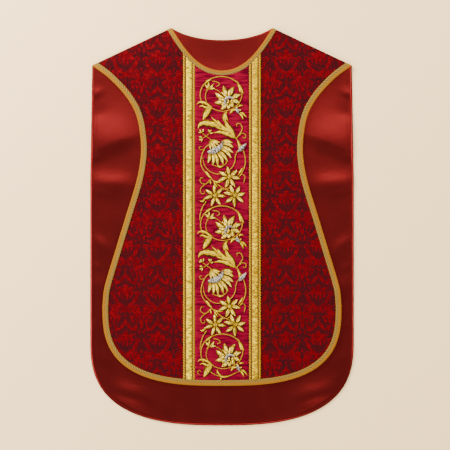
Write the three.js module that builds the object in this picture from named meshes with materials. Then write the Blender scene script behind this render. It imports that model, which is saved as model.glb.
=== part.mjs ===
// A fiddleback chasuble laid flat, front panel up, on the inside of its wider back panel.
// Millimetres. +X is the wearer's left as it lies, +Y runs from the hem to the neck, +Z is up.
// The origin is the middle of the flat underside of the whole piece.
// Every cloth is a closed wall between two height surfaces over one grid of plan points.
import * as THREE from "three";

// Driving sizes of the cut
const LENGTH = 1056;
const BACK_HALF_WIDTH = 350;
const TOP = LENGTH / 2;
const NECK_HALF_WIDTH = 134;
const SHOULDER_TIP = new THREE.Vector2(345, 428);
const NECK_POINT = new THREE.Vector2(NECK_HALF_WIDTH, TOP);
const BACK_NECK_DEPTH = 32;
const FRONT_NECK_DEPTH = 114;

// The back narrows a little from this height up to the shoulder, and its hem is a rounded square.
const BACK_TAPER_START = 124;
const BACK_HEM = { centre: -302, halfWidth: BACK_HALF_WIDTH, power: 2.7 };
BACK_HEM.depth = BACK_HEM.centre + TOP;

// The front's hem, and the scooped side above it, from hem to shoulder tip
const FRONT_HEM = { centre: -210, halfWidth: 317, depth: 212, power: 2.85 };
const FRONT_SIDE = [
  { up: -210, out: 317 },
  { up: -163, out: 312 },
  { up: -67, out: 284 },
  { up: 28, out: 255 },
  { up: 124, out: 226 },
  { up: 190, out: 215 },
  { up: 245, out: 217 },
  { up: 300, out: 229 },
  { up: 347, out: 256 },
  { up: 395, out: 301 },
  { up: SHOULDER_TIP.y, out: SHOULDER_TIP.x },
];

// Cloth and trims, by thickness
const SHELL = 1.5;
const LINING = 1.0;
const DAMASK = 2.2;
const SILK = 1.0;
const GALLOON = 1.3;
const SEAM_GAP = 0.3;

// Widths of the trims
const EDGE_GALLOON_WIDTH = 15;
const NECK_GALLOON_WIDTH = 12;
const ORPHREY_HALF_WIDTH = 103;
const BRAID_WIDTH = 31;

// Section of the three-part braid, from its inner edge outwards: two cords beside a padded band
const BRAID_SECTION = [
  { across: 0, rise: 0.9 },
  { across: 2.8, rise: 1.7 },
  { across: 5.6, rise: 0.9 },
  { across: 8.6, rise: 0.9 },
  { across: 11, rise: 1.8 },
  { across: 15.5, rise: 2.2 },
  { across: 20, rise: 1.8 },
  { across: 22.4, rise: 0.9 },
  { across: 25.4, rise: 0.9 },
  { across: 28.2, rise: 1.7 },
  { across: BRAID_WIDTH, rise: 0.9 },
];

// Section of the flat edge galloon, from its outer edge inwards, as shares of its width
const GALLOON_SECTION = [
  { share: 0, rise: 0.6 },
  { share: 0.15, rise: GALLOON },
  { share: 0.85, rise: GALLOON },
  { share: 1, rise: 0.6 },
];

// The lining's largest soft folds, on each side alike. Each crest lies at (out, up), turned by tilt
// degrees; long, upper and lower are its half lengths along and to each side, and rise its height.
const LINING_FOLDS = [
  { out: 296, up: 221, tilt: -21, long: 62, upper: 66, lower: 22, rise: 4.2 },
  { out: 300, up: 112, tilt: 8, long: 58, upper: 26, lower: 30, rise: 2.8 },
  { out: 318, up: -51, tilt: 42, long: 32, upper: 20, lower: 20, rise: 1.8 },
  { out: 322, up: -158, tilt: 42, long: 32, upper: 20, lower: 20, rise: 1.8 },
  { out: 330, up: -348, tilt: 40, long: 30, upper: 20, lower: 20, rise: 1.6 },
  { out: 233, up: -452, tilt: 26, long: 74, upper: 36, lower: 22, rise: 3.2 },
];

// The lining stops just short of the back's edge and is bagged out there in a soft ridge.
const LINING_INSET = 2;
const RIM_RISE = 1.1;

// The front is stiff: it springs up a little below the shoulder seam, lies loosely on the lining
// from there down, and has two broad swells.
const SHOULDER_SPRING = { reach: 55, rise: 3.2, loose: 0.4 };
const FRONT_SWELLS = [
  { out: 165, up: 210, long: 90, upper: 120, lower: 120, tilt: 0, rise: 1.3 },
  { out: 190, up: -210, long: 100, upper: 150, lower: 150, tilt: 0, rise: 1.5 },
];

const LINING_BASE = SHELL + SEAM_GAP;
const FRONT_BASE = LINING_BASE + LINING + SEAM_GAP;
const SHOULDER_DIRECTION = SHOULDER_TIP.clone().sub(NECK_POINT).normalize();

const spread = (count, from = 0, to = 1) =>
  Array.from({ length: count + 1 }, (_, i) => from + ((to - from) * i) / count);

// Cubic through a table of heights, with the slope at each row taken from its neighbours
function throughTable(table, up) {
  const last = table.length - 1;
  let i = 0;
  while (i < last - 1 && up > table[i + 1].up) i += 1;
  const slope = (k) => {
    const a = table[Math.max(0, k - 1)];
    const b = table[Math.min(last, k + 1)];
    return (b.out - a.out) / (b.up - a.up);
  };
  const step = table[i + 1].up - table[i].up;
  const t = (up - table[i].up) / step;
  const a = table[i].out;
  const b = table[i + 1].out;
  const ma = slope(i) * step;
  const mb = slope(i + 1) * step;
  return a + t * (ma + t * (3 * (b - a) - 2 * ma - mb + t * (2 * (a - b) + ma + mb)));
}

// Rounded square of a hem: half width at a height, height at a distance from the middle, and the
// point at share t of the way round it from the left side to the right
function hemHalfWidth(hem, up) {
  const down = Math.min(1, Math.max(0, (hem.centre - up) / hem.depth));
  return hem.halfWidth * (1 - down ** hem.power) ** (1 / hem.power);
}
function hemHeight(hem, x) {
  const out = Math.min(1, Math.abs(x) / hem.halfWidth);
  return hem.centre - hem.depth * (1 - out ** hem.power) ** (1 / hem.power);
}
const hemPoint = (hem) => (t) => {
  const angle = (t - 0.5) * Math.PI;
  const out = Math.abs(Math.sin(angle)) ** (2 / hem.power) * Math.sign(t - 0.5);
  const down = Math.max(0, Math.cos(angle)) ** (2 / hem.power);
  return new THREE.Vector2(out * hem.halfWidth, hem.centre - down * hem.depth);
};

function backHalfWidth(up) {
  if (up < BACK_HEM.centre) return hemHalfWidth(BACK_HEM, up);
  const share = Math.max(0, (up - BACK_TAPER_START) / (SHOULDER_TIP.y - BACK_TAPER_START));
  return BACK_HALF_WIDTH - (BACK_HALF_WIDTH - SHOULDER_TIP.x) * share;
}
function frontHalfWidth(up) {
  return up < FRONT_HEM.centre ? hemHalfWidth(FRONT_HEM, up) : throughTable(FRONT_SIDE, up);
}

// Necklines from the right neck point to the middle: the back's is shallow, the front's a deep scoop.
const halfNeck = (depth, side, low) =>
  new THREE.CubicBezierCurve(
    NECK_POINT,
    new THREE.Vector2(side.x, TOP - side.y),
    new THREE.Vector2(low, TOP - depth),
    new THREE.Vector2(0, TOP - depth),
  );
const BACK_NECK = halfNeck(BACK_NECK_DEPTH, { x: 100, y: 22 }, 50);
const FRONT_NECK = halfNeck(FRONT_NECK_DEPTH, { x: 100, y: 57 }, 62);

const mirrored = (point) => new THREE.Vector2(-point.x, point.y);

// Upper edge of a panel, left tip to right tip, at share u: shoulder line, neckline, shoulder line
const SHOULDER_SHARE = 0.3;
function upperEdge(neck, u) {
  if (u > 0.5) return mirrored(upperEdge(neck, 1 - u));
  if (u <= SHOULDER_SHARE)
    return mirrored(SHOULDER_TIP.clone().lerp(NECK_POINT, u / SHOULDER_SHARE));
  return mirrored(neck.getPoint((u - SHOULDER_SHARE) / (0.5 - SHOULDER_SHARE)));
}

// Depth below the shoulder line, measured square to it
function belowShoulder(x, y) {
  const out = Math.abs(x) - NECK_POINT.x;
  const up = y - NECK_POINT.y;
  return SHOULDER_DIRECTION.y * out - SHOULDER_DIRECTION.x * up;
}

// Height of a table of soft folds, the same on both sides of the middle
function foldHeight(folds, x, y) {
  return folds.reduce((sum, fold) => {
    const angle = THREE.MathUtils.degToRad(fold.tilt);
    const dx = Math.abs(x) - fold.out;
    const dy = y - fold.up;
    const along = (dx * Math.cos(angle) + dy * Math.sin(angle)) / fold.long;
    const off = dy * Math.cos(angle) - dx * Math.sin(angle);
    const across = off / (off > 0 ? fold.upper : fold.lower);
    return sum + fold.rise * Math.exp(-along * along - across * across);
  }, 0);
}

// Underside heights of the lining and of the front panel
const liningFloor = (x, y) => LINING_BASE + foldHeight(LINING_FOLDS, x, y);
function frontFloor(x, y) {
  const depth = Math.max(0, belowShoulder(x, y)) / SHOULDER_SPRING.reach;
  const spring = SHOULDER_SPRING.rise * depth * Math.exp(1 - depth);
  const loose = SHOULDER_SPRING.loose * (1 - Math.exp(-depth));
  const folds = foldHeight(LINING_FOLDS, x, y) + foldHeight(FRONT_SWELLS, x, y);
  return FRONT_BASE + spring + loose + folds;
}
const frontTop = (x, y) => frontFloor(x, y) + DAMASK;

// Grid of plan points blended between four edges that meet at their corners
function patch(edges, acrossShares, upShares) {
  const blend = (u, v) => {
    const point = edges.bottom(u).multiplyScalar(1 - v).addScaledVector(edges.top(u), v);
    point.addScaledVector(edges.left(v), 1 - u).addScaledVector(edges.right(v), u);
    point.addScaledVector(edges.bottom(0), -(1 - u) * (1 - v));
    point.addScaledVector(edges.bottom(1), -u * (1 - v));
    point.addScaledVector(edges.top(0), -(1 - u) * v);
    return point.addScaledVector(edges.top(1), -u * v);
  };
  return upShares.map((v) => acrossShares.map((u) => blend(u, v)));
}

// The four edges of a panel with a rounded hem, whose lower corners lie part way round it
const HEM_CORNER_SHARE = 0.8;
function panelEdges({ halfWidth, hem, top }) {
  const cornerX = hem.halfWidth * HEM_CORNER_SHARE;
  const cornerY = hemHeight(hem, cornerX);
  const tipY = top(0).y;
  const side = (v) => {
    const up = THREE.MathUtils.lerp(cornerY, tipY, v);
    return new THREE.Vector2(v === 0 ? cornerX : halfWidth(up), up);
  };
  return {
    right: side,
    left: (v) => mirrored(side(v)),
    bottom: (u) => {
      const x = THREE.MathUtils.lerp(-cornerX, cornerX, u);
      return new THREE.Vector2(x, hemHeight(hem, x));
    },
    top,
  };
}

// Closed wall over a grid of plan points, rows running up and columns to the right. floor and roof
// give the two heights at a point of the grid.
function wall(grid, floor, roof) {
  const rows = grid.length;
  const columns = grid[0].length;
  const positions = [];
  for (const height of [floor, roof])
    grid.forEach((row, r) =>
      row.forEach((p, c) => positions.push(p.x, p.y, height(p.x, p.y, r, c))),
    );
  const at = (layer, r, c) => layer * rows * columns + r * columns + c;
  const faces = [];
  const quad = (a, b, c, d) => faces.push(a, b, c, a, c, d);
  for (let r = 0; r + 1 < rows; r += 1)
    for (let c = 0; c + 1 < columns; c += 1) {
      quad(at(1, r, c), at(1, r, c + 1), at(1, r + 1, c + 1), at(1, r + 1, c));
      quad(at(0, r, c), at(0, r + 1, c), at(0, r + 1, c + 1), at(0, r, c + 1));
    }
  const last = { row: rows - 1, column: columns - 1 };
  for (let c = 0; c + 1 < columns; c += 1) {
    quad(at(0, 0, c), at(0, 0, c + 1), at(1, 0, c + 1), at(1, 0, c));
    quad(at(0, last.row, c + 1), at(0, last.row, c), at(1, last.row, c), at(1, last.row, c + 1));
  }
  for (let r = 0; r + 1 < rows; r += 1) {
    quad(at(0, r + 1, 0), at(0, r, 0), at(1, r, 0), at(1, r + 1, 0));
    const edge = last.column;
    quad(at(0, r, edge), at(0, r + 1, edge), at(1, r + 1, edge), at(1, r, edge));
  }
  const geometry = new THREE.BufferGeometry();
  geometry.setAttribute("position", new THREE.Float32BufferAttribute(positions, 3));
  geometry.setIndex(faces);
  geometry.computeVertexNormals();
  return geometry;
}

// Plan points along a list of stretches, each a point function and its number of steps
const SAME_POINT = 0.5;
function run(stretches) {
  const points = [];
  for (const { point, steps } of stretches)
    for (const t of spread(steps)) {
      const p = point(t);
      if (!points.length || points.at(-1).distanceTo(p) > SAME_POINT) points.push(p);
    }
  return points;
}

// Grid of a band that follows a run of points, its body to the left of the way the run goes. Its two
// ends are cut along the given directions, and the rows that a slanted cut would cross are left out.
const CUT_CLEARANCE = 2;
function bandGrid(path, width, shares, startCut, endCut) {
  const total = path.length - 1;
  const lengths = path.map(() => 0);
  for (let i = 1; i <= total; i += 1) lengths[i] = lengths[i - 1] + path[i].distanceTo(path[i - 1]);
  const wayAt = (i) =>
    path[Math.min(total, i + 1)].clone().sub(path[Math.max(0, i - 1)]).normalize();
  const squareAt = (way) => new THREE.Vector2(-way.y, way.x);
  const cutReach = (way, cut) => cut.clone().multiplyScalar(width / cut.dot(squareAt(way)));
  const startReach = cutReach(wayAt(0), startCut);
  const endReach = cutReach(wayAt(total), endCut);
  const startTrim = Math.max(0, startReach.dot(wayAt(0))) + CUT_CLEARANCE;
  const endTrim = Math.max(0, -endReach.dot(wayAt(total))) + CUT_CLEARANCE;
  const rowFrom = (outer, reach) => shares.map((s) => outer.clone().addScaledVector(reach, s));
  const squareRows = [];
  for (let i = 1; i < total; i += 1)
    if (lengths[i] > startTrim && lengths[total] - lengths[i] > endTrim)
      squareRows.push(rowFrom(path[i], squareAt(wayAt(i)).multiplyScalar(width)));
  const start = rowFrom(path[0], startReach);
  const end = rowFrom(path[total], endReach);
  const halfway = (from, to) => from.map((p, i) => p.clone().lerp(to[i], 0.5));
  return [start, halfway(start, squareRows[0]), ...squareRows, halfway(squareRows.at(-1), end), end];
}

// A band grid runs along its rows, so it is turned to give columns to the right of its rows.
const facingUp = (rows) => rows.map((row) => [...row].reverse());

const cloth = (colour, roughness, metalness = 0) =>
  new THREE.MeshStandardMaterial({ color: colour, roughness, metalness });
const MATERIALS = {
  shell: cloth(0x72140f, 0.75),
  lining: cloth(0x7a1f18, 0.4),
  damask: cloth(0x7a1013, 0.7),
  silk: cloth(0xa01c2c, 0.55),
  braid: cloth(0xd8b45c, 0.4, 0.4),
  galloon: cloth(0xc48a3c, 0.45, 0.4),
};

const chasuble = new THREE.Group();
function add(name, geometry, material) {
  const mesh = new THREE.Mesh(geometry, material);
  mesh.name = name;
  chasuble.add(mesh);
}

// Back panel: the outer cloth of the back, face down and flat, cut in one piece with its shoulders
const BACK_EDGE_STEPS = { hem: 40, side: 3, neck: 12 };
function backOutline() {
  const side = (t) => {
    const up = THREE.MathUtils.lerp(BACK_TAPER_START, SHOULDER_TIP.y, t);
    return new THREE.Vector2(backHalfWidth(up), up);
  };
  const neck = (t) =>
    t < 0.5 ? BACK_NECK.getPoint(2 * t) : mirrored(BACK_NECK.getPoint(2 - 2 * t));
  return run([
    { point: hemPoint(BACK_HEM), steps: BACK_EDGE_STEPS.hem },
    { point: side, steps: BACK_EDGE_STEPS.side },
    { point: neck, steps: BACK_EDGE_STEPS.neck },
    { point: (t) => mirrored(side(1 - t)), steps: BACK_EDGE_STEPS.side },
  ]);
}
add(
  "back_panel",
  new THREE.ExtrudeGeometry(new THREE.Shape(backOutline()), { depth: SHELL, bevelEnabled: false }),
  MATERIALS.shell,
);

// Back lining: satin set just inside the back's edge, rising in soft folds where the front leaves it bare
const liningHem = {
  ...BACK_HEM,
  halfWidth: BACK_HEM.halfWidth - LINING_INSET,
  depth: BACK_HEM.depth - LINING_INSET,
};
function liningTop(u) {
  const p = upperEdge(BACK_NECK, u);
  return new THREE.Vector2(p.x * (1 - LINING_INSET / SHOULDER_TIP.x), p.y - LINING_INSET);
}
function liningHalfWidth(up) {
  return up < liningHem.centre ? hemHalfWidth(liningHem, up) : backHalfWidth(up) - LINING_INSET;
}
const LINING_EDGES = panelEdges({ halfWidth: liningHalfWidth, hem: liningHem, top: liningTop });
// Columns and rows close up towards the free edges, where the lining shows and has its folds.
const NEAR_EDGE = [0, 0.0075, 0.015, 0.03, 0.055, 0.085, 0.12, 0.16, 0.21, 0.3, 0.39];
const LINING_ACROSS = [...NEAR_EDGE, 0.5, ...NEAR_EDGE.map((s) => 1 - s).reverse()];
const LINING_UP = [0, 0.008, 0.018, 0.035, ...spread(43, 0.055, 0.97), 0.99, 1];
const liningGrid = patch(LINING_EDGES, LINING_ACROSS, LINING_UP);
// The rim rises on the ring just inside the hem and both sides, and flattens out under the front's
// shoulders, in the last rows.
const RIM_END_ROWS = 4;
function rimRise(row, column) {
  const ring = Math.min(column, LINING_ACROSS.length - 1 - column, row);
  return ring === 1 && row < LINING_UP.length - RIM_END_ROWS ? RIM_RISE : 0;
}
const liningSurface = (lift) => (x, y, r, c) => liningFloor(x, y) + rimRise(r, c) + lift;
add(
  "back_lining",
  wall(liningGrid, liningSurface(0), liningSurface(LINING)),
  MATERIALS.lining,
);

// Front panel: stiff damask in the fiddle shape, joined to the back along the shoulders
const FRONT_EDGES = panelEdges({
  halfWidth: frontHalfWidth,
  hem: FRONT_HEM,
  top: (u) => upperEdge(FRONT_NECK, u),
});
const FRONT_STEPS = { shoulder: 5, neck: 16 };
const FRONT_ACROSS = [
  ...spread(FRONT_STEPS.shoulder, 0, SHOULDER_SHARE),
  ...spread(FRONT_STEPS.neck, SHOULDER_SHARE, 1 - SHOULDER_SHARE).slice(1, -1),
  ...spread(FRONT_STEPS.shoulder, 1 - SHOULDER_SHARE, 1),
];
const FRONT_UP = [...spread(26, 0, 0.9), 0.93, 0.955, 0.975, 0.99, 1];
const frontGrid = patch(FRONT_EDGES, FRONT_ACROSS, FRONT_UP);
add("front_panel", wall(frontGrid, frontFloor, frontTop), MATERIALS.damask);

// Height of the front's own facets, so that what lies on it is made from its surface, moved out. A
// plan point just off the panel takes the plane of the facet that it lies nearest to.
function facetHeight(grid, height) {
  const corners = grid.map((row) => row.map((p) => new THREE.Vector3(p.x, p.y, height(p.x, p.y))));
  const facets = [];
  const addFacet = (a, b, c) => {
    const doubleArea = (b.x - a.x) * (c.y - a.y) - (c.x - a.x) * (b.y - a.y);
    const altitude = (p, q) => doubleArea / Math.hypot(p.x - q.x, p.y - q.y);
    facets.push({ a, b, c, doubleArea, altitudes: [altitude(b, c), altitude(c, a), altitude(a, b)] });
  };
  for (let r = 0; r + 1 < corners.length; r += 1)
    for (let c = 0; c + 1 < corners[r].length; c += 1) {
      const [low, high] = [corners[r], corners[r + 1]];
      addFacet(low[c], low[c + 1], high[c + 1]);
      addFacet(low[c], high[c + 1], high[c]);
    }
  return (x, y) => {
    let best = { inside: -Infinity, height: 0 };
    for (const { a, b, c, doubleArea, altitudes } of facets) {
      const shareB = ((x - a.x) * (c.y - a.y) - (c.x - a.x) * (y - a.y)) / doubleArea;
      const shareC = ((b.x - a.x) * (y - a.y) - (x - a.x) * (b.y - a.y)) / doubleArea;
      const shares = [1 - shareB - shareC, shareB, shareC];
      const inside = Math.min(...shares.map((share, i) => share * altitudes[i]));
      if (inside > best.inside)
        best = { inside, height: shares[0] * a.z + shareB * b.z + shareC * c.z };
    }
    return best.height;
  };
}
const frontFacets = facetHeight(frontGrid, frontTop);
const onFront = (x, y) => frontFacets(x, y) + SEAM_GAP;

// Edge galloon: one braid from shoulder tip to shoulder tip, round both scooped sides and the hem
const EDGE_STEPS = { side: 30, hem: 30 };
// Steps along the sides shorten towards the shoulder, where the front springs up.
const SIDE_EASE = 1.35;
const frontSidePoint = (t) => {
  const up = THREE.MathUtils.lerp(SHOULDER_TIP.y, FRONT_HEM.centre, (1 - t) ** SIDE_EASE);
  return new THREE.Vector2(frontHalfWidth(up), up);
};
const edgeRun = run([
  { point: (t) => mirrored(frontSidePoint(1 - t)), steps: EDGE_STEPS.side },
  { point: hemPoint(FRONT_HEM), steps: EDGE_STEPS.hem },
  { point: frontSidePoint, steps: EDGE_STEPS.side },
]);
const towardsNeck = SHOULDER_DIRECTION.clone().negate();
const galloonShares = GALLOON_SECTION.map((row) => row.share);
const edgeBand = bandGrid(
  edgeRun,
  EDGE_GALLOON_WIDTH,
  galloonShares,
  mirrored(towardsNeck),
  towardsNeck,
);
const galloonRoof = (x, y, row, column) => onFront(x, y) + GALLOON_SECTION.at(-1 - column).rise;
add("edge_galloon", wall(facingUp(edgeBand), onFront, galloonRoof), MATERIALS.galloon);

// Neck galloon: the same braid, narrower, round the front neckline from neck point to neck point
const NECK_STEPS = 20;
const neckRun = run([
  { point: (t) => FRONT_NECK.getPoint(t), steps: NECK_STEPS },
  { point: (t) => mirrored(FRONT_NECK.getPoint(1 - t)), steps: NECK_STEPS },
]);
const neckBand = bandGrid(
  neckRun,
  NECK_GALLOON_WIDTH,
  galloonShares,
  SHOULDER_DIRECTION,
  mirrored(SHOULDER_DIRECTION),
);
add("neck_galloon", wall(facingUp(neckBand), onFront, galloonRoof), MATERIALS.galloon);

// Height of a run of points at a distance from the middle
function heightOn(points, x) {
  for (let i = 1; i < points.length; i += 1) {
    const [a, b] = [points[i - 1], points[i]];
    if ((a.x - x) * (b.x - x) <= 0 && a.x !== b.x) {
      return a.y + ((b.y - a.y) * (x - a.x)) / (b.x - a.x);
    }
  }
  return null;
}
// The orphrey fills the way from the inner edge of the hem galloon to that of the neck galloon.
const innerEdge = (band) => band.map((row) => row.at(-1));
const hemInnerEdge = innerEdge(edgeBand).filter((p) => p.y < FRONT_HEM.centre);
const columnFoot = (x) => heightOn(hemInnerEdge, x) + SEAM_GAP;
const columnHead = (x) => heightOn(innerEdge(neckBand), x) - SEAM_GAP;
function columnGrid(xs, rowCount) {
  return spread(rowCount).map((v) =>
    xs.map((x) => new THREE.Vector2(x, THREE.MathUtils.lerp(columnFoot(x), columnHead(x), v))),
  );
}

// Orphrey: the silk column down the middle that carries the embroidery
const SILK_HALF_WIDTH = ORPHREY_HALF_WIDTH - BRAID_WIDTH - SEAM_GAP;
const SILK_COLUMNS = 16;
const COLUMN_ROWS = 24;
const silkGrid = columnGrid(spread(SILK_COLUMNS, -SILK_HALF_WIDTH, SILK_HALF_WIDTH), COLUMN_ROWS);
add("orphrey_silk", wall(silkGrid, onFront, (x, y) => onFront(x, y) + SILK), MATERIALS.silk);

// Orphrey braids: a padded gold band between two cords, down each side of the silk
for (const side of [-1, 1]) {
  const section = side > 0 ? BRAID_SECTION : [...BRAID_SECTION].reverse();
  const inner = ORPHREY_HALF_WIDTH - BRAID_WIDTH;
  const xs = section.map((row) => side * (inner + row.across));
  const roof = (x, y, row, column) => onFront(x, y) + section[column].rise;
  const name = side > 0 ? "orphrey_braid_right" : "orphrey_braid_left";
  add(name, wall(columnGrid(xs, COLUMN_ROWS), onFront, roof), MATERIALS.braid);
}

export default chasuble;
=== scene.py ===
"""A fiddleback chasuble laid flat on a pale floor, front up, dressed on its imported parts. In metres."""

import math
from collections import namedtuple

import bpy
import numpy as np
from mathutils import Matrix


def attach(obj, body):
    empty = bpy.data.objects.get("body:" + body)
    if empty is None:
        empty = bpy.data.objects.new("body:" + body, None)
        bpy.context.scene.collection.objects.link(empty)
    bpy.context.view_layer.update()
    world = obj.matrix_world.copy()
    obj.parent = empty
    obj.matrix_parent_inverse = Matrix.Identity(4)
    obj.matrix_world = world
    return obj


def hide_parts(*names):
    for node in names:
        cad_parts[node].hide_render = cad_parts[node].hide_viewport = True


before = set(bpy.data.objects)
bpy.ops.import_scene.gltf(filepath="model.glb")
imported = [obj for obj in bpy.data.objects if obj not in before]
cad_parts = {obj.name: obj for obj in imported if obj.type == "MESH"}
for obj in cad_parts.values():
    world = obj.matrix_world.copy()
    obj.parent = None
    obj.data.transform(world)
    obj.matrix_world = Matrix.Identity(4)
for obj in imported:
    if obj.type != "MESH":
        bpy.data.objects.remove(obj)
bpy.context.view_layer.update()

# Back panel. The outer cloth of the back: interlined crimson damask, cut to the full round-cornered
# shape and lying face down. Its edge is turned in over the lining, so only a thin rim of it shows.
LENGTH = 1.056
TOP = LENGTH / 2
BACK_HALF_WIDTH = 0.350
SHOULDER_TIP = np.array([0.345, 0.428])
NECK_POINT = np.array([0.134, TOP])
SHOULDER_SHARE = 0.3
BACK_NECK_CURVE = np.array([[0.134, TOP], [0.100, TOP - 0.022], [0.050, TOP - 0.032], [0, TOP - 0.032]])
Hem = namedtuple("Hem", "centre half_width depth power")
BACK_HEM = Hem(centre=-0.302, half_width=BACK_HALF_WIDTH, depth=0.226, power=2.7)
BACK_TAPER_START = 0.124
CORNER_SHARE = 0.8
SHELL_THICKNESS = 0.0015
RIM_ACROSS, RIM_UP, RIM_ROUNDING = 0.012, 0.010, 0.0004


def hem_height(hem, x):
    """Height of a hem, a rounded square, at a distance from the middle."""
    out = np.minimum(1, np.abs(x) / hem.half_width)
    return hem.centre - hem.depth * (1 - out**hem.power) ** (1 / hem.power)


def hem_half_width(hem, up):
    """Half width of a hem's rounded square at a height below its centre."""
    down = np.clip((hem.centre - up) / hem.depth, 0, 1)
    return hem.half_width * (1 - down**hem.power) ** (1 / hem.power)


def back_half_width(up, inset=0.0):
    """Half width of the back at a height: straight sides that taper a little to the shoulder."""
    hem = BACK_HEM._replace(half_width=BACK_HALF_WIDTH - inset, depth=BACK_HEM.depth - inset)
    taper = np.clip((up - BACK_TAPER_START) / (SHOULDER_TIP[1] - BACK_TAPER_START), 0, 1)
    side = hem.half_width - (BACK_HALF_WIDTH - SHOULDER_TIP[0]) * taper
    return np.where(up < hem.centre, hem_half_width(hem, up), side)


def upper_edge(neck_curve, share):
    """Upper edge of a panel at shares from 0, the left tip, to 1: shoulder, neckline, shoulder."""
    near = np.minimum(share, 1 - share)
    along = np.clip(near / SHOULDER_SHARE, 0, 1)[:, None]
    shoulder = SHOULDER_TIP * (1 - along) + NECK_POINT * along
    t = np.clip((near - SHOULDER_SHARE) / (0.5 - SHOULDER_SHARE), 0, 1)[:, None]
    a, b, c, d = neck_curve
    neck = a * (1 - t) ** 3 + 3 * b * t * (1 - t) ** 2 + 3 * c * t**2 * (1 - t) + d * t**3
    points = np.where(near[:, None] < SHOULDER_SHARE, shoulder, neck)
    points[:, 0] *= np.where(share < 0.5, -1, 1)
    return points


def panel_grid(hem, half_width, neck_curve, across, up, inset=0.0):
    """Plan points of a panel, rows running up it, blended between its four edges."""
    corner_x = hem.half_width * CORNER_SHARE
    corner_y = float(hem_height(hem, corner_x))
    top = upper_edge(neck_curve, across)
    top[:, 0] *= 1 - inset / SHOULDER_TIP[0]
    top[:, 1] -= inset
    bottom_x = corner_x * (2 * across - 1)
    bottom = np.stack([bottom_x, hem_height(hem, bottom_x)], -1)
    side_y = corner_y + (top[0, 1] - corner_y) * up
    side_x = half_width(side_y)
    side_x[0], side_x[-1] = corner_x, top[-1, 0]
    right = np.stack([side_x, side_y], -1)
    left = right * [-1, 1]
    u, v = across[None, :, None], up[:, None, None]
    grid = (1 - v) * bottom + v * top + (1 - u) * left[:, None] + u * right[:, None]
    grid -= (1 - v) * ((1 - u) * bottom[0] + u * bottom[-1]) + v * ((1 - u) * top[0] + u * top[-1])
    return grid


def closer_at_ends(count, rim_steps, rim):
    """Shares from 0 to 1 with a few short steps of the rim's share at each end."""
    edge = np.linspace(0, rim, rim_steps + 1)[:-1]
    return np.concatenate([edge, np.linspace(rim, 1 - rim, count), 1 - edge[::-1]])


def shell_faces(top, bottom):
    """Points and quads of a closed shell between two grids of points, rows up and columns right."""
    rows, columns = top.shape[:2]
    over = np.arange(rows * columns).reshape(rows, columns)
    under = over + rows * columns
    quads = [
        (over[:-1, :-1], over[:-1, 1:], over[1:, 1:], over[1:, :-1]),
        (under[:-1, :-1], under[1:, :-1], under[1:, 1:], under[:-1, 1:]),
        (under[0, :-1], under[0, 1:], over[0, 1:], over[0, :-1]),
        (under[-1, 1:], under[-1, :-1], over[-1, :-1], over[-1, 1:]),
        (under[1:, 0], under[:-1, 0], over[:-1, 0], over[1:, 0]),
        (under[:-1, -1], under[1:, -1], over[1:, -1], over[:-1, -1]),
    ]
    faces = np.concatenate([np.stack(corners, -1).reshape(-1, 4) for corners in quads])
    return np.concatenate([top.reshape(-1, 3), bottom.reshape(-1, 3)]), faces


def make_piece(name, shells, material, thread=None):
    """One smooth mesh of closed shells, riding on the garment. thread holds each shell's UV grid."""
    points, faces, uvs, start = [], [], [], 0
    for i, (top, bottom) in enumerate(shells):
        shell_points, quads = shell_faces(top, bottom)
        points.append(shell_points)
        faces.append(quads + start)
        start += len(shell_points)
        if thread is not None:
            uvs += [thread[i].reshape(-1, 2)] * 2
    mesh = bpy.data.meshes.new(name)
    mesh.from_pydata(np.concatenate(points).tolist(), [], np.concatenate(faces).tolist())
    if thread is not None:
        loops = np.zeros(len(mesh.loops), np.int32)
        mesh.loops.foreach_get("vertex_index", loops)
        layer = mesh.uv_layers.new(name="thread")
        layer.data.foreach_set("uv", np.concatenate(uvs)[loops].astype(np.float32).ravel())
    mesh.shade_smooth()
    mesh.materials.append(material)
    piece = bpy.data.objects.new(name, mesh)
    bpy.context.scene.collection.objects.link(piece)
    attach(piece, "root")
    return piece


def lay_cloth(name, node, faces, material, slot, flat, measured, thread=None, **rests):
    """One cut of cloth, laid flat in the place of its CAD node. faces are its top and under side,
    and measured, the grid that would give its area, is not used."""
    piece = make_piece(name, [faces], material, thread)
    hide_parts(node)


def at_heights(plan, heights):
    """Points of a plan grid at a grid of heights, or at one height."""
    return np.concatenate([plan, np.broadcast_to(heights, plan.shape[:2])[..., None]], -1)


class Value:
    """A value in a dye's nodes. Sums and products with it, and abs of it, add Math nodes."""

    def __init__(self, dye, socket):
        self.dye = dye
        self.socket = socket

    def __add__(self, other):
        return self.dye.math("ADD", self, other)

    def __radd__(self, other):
        return self.dye.math("ADD", other, self)

    def __sub__(self, other):
        return self.dye.math("SUBTRACT", self, other)

    def __rsub__(self, other):
        return self.dye.math("SUBTRACT", other, self)

    def __mul__(self, other):
        return self.dye.math("MULTIPLY", self, other)

    def __abs__(self):
        return self.dye.math("ABSOLUTE", self)


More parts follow.
